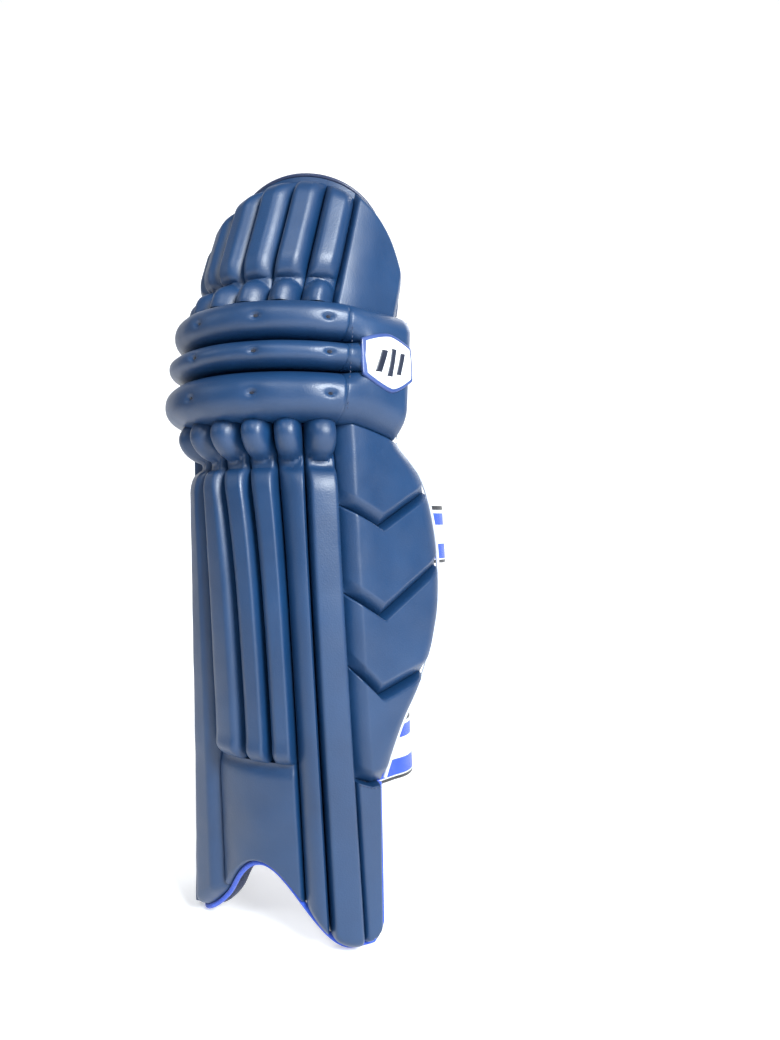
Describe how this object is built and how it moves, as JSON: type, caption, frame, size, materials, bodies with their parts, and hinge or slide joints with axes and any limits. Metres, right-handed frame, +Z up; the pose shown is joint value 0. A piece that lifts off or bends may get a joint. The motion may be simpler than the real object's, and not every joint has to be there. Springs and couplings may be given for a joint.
{
  "type": "cricket leg pad",
  "caption": "Padded leg guard with a moulded roll facing, stitched knee rolls, folding top hat, side wing, soft lining and striped webbing straps.",
  "frame": {"origin": "on the floor under the leg axis of the knee, where the pad stands on its two lower lobes", "axes": "+Z up along the leg, -Y to the front (the facing), +X to the outer side with the wing"},
  "size_m": [0.3036, 0.2855, 0.8234],
  "materials": {
    "facing": "satin pressed navy leathercloth",
    "backing": "woven backing cloth",
    "lining": "soft brushed lining",
    "pale_piping": "satin",
    "dark_piping": "satin",
    "blue_binding": "woven tape",
    "thread": "stitched thread",
    "cane": "raw split cane",
    "badge_rim": "satin",
    "badge_plate": "gloss",
    "badge_mark": "satin",
    "webbing": "woven striped webbing",
    "fastener": "hook and loop"
  },
  "bodies": {
    "shin": {"knee_roll_upper": "facing", "knee_roll_middle": "facing", "knee_roll_lower": "facing", "knee_tufts": "thread", "knee_side_panel": "facing", "knee_inner_panel": "facing", "badge_rim": "badge_rim", "badge_plate": "badge_plate", "badge_motif": "badge_mark", "knee_backing": "backing", "knee_cup": "lining", "knee_piping": "pale_piping", "shin_roll_1": "facing", "shin_roll_2": "facing", "shin_roll_3": "facing", "shin_roll_4": "facing", "shin_roll_5": "facing", "shin_roll_6": "facing", "instep_panel": "facing", "wing_segment_1": "facing", "wing_segment_2": "facing", "wing_segment_3": "facing", "wing_segment_4": "facing", "wing_strip": "facing", "shin_inner_panel": "facing", "shin_canes": "cane", "shin_backing": "backing", "wing_backing": "backing", "shin_cushion": "lining", "bolster_inner": "lining", "bolster_outer": "lining", "wing_lining": "lining", "wing_piping": "pale_piping", "bottom_binding": "blue_binding", "strap_roots": "webbing", "knee_loop_patch": "fastener", "calf_loop_patch": "fastener", "ankle_loop_patch": "fastener"},
    "top_hat": {"top_roll_1": "facing", "top_roll_2": "facing", "top_roll_3": "facing", "top_roll_4": "facing", "top_roll_5": "facing", "top_roll_6": "facing", "top_side_panel": "facing", "top_inner_panel": "facing", "top_backing": "backing", "top_lining": "lining", "top_piping": "dark_piping"},
    "knee_strap": {"knee_strap": "webbing", "knee_hook_tab": "fastener"},
    "calf_strap": {"calf_strap": "webbing", "calf_hook_tab": "fastener", "calf_strap_pad": "lining"},
    "ankle_strap": {"ankle_strap": "webbing", "ankle_hook_tab": "fastener"}
  },
  "joints": [
    {"name": "top_hat_fold", "type": "hinge", "parent": "shin", "child": "top_hat", "pos_m": [0, -0.128, 0.668], "axis": [1, 0, 0], "range_deg": [0, 15]},
    {"name": "knee_strap_open", "type": "hinge", "parent": "shin", "child": "knee_strap", "pos_m": [0.11119, 0.02442, 0.586], "axis": [0, 0, 1], "range_deg": [-100, 0]},
    {"name": "calf_strap_open", "type": "hinge", "parent": "shin", "child": "calf_strap", "pos_m": [0.13639, 0.07585, 0.426], "axis": [0, 0, 1], "range_deg": [-78, 0]},
    {"name": "ankle_strap_open", "type": "hinge", "parent": "shin", "child": "ankle_strap", "pos_m": [0.11707, 0.01343, 0.186], "axis": [0, 0, 1], "range_deg": [-75, 0]}
  ]
}
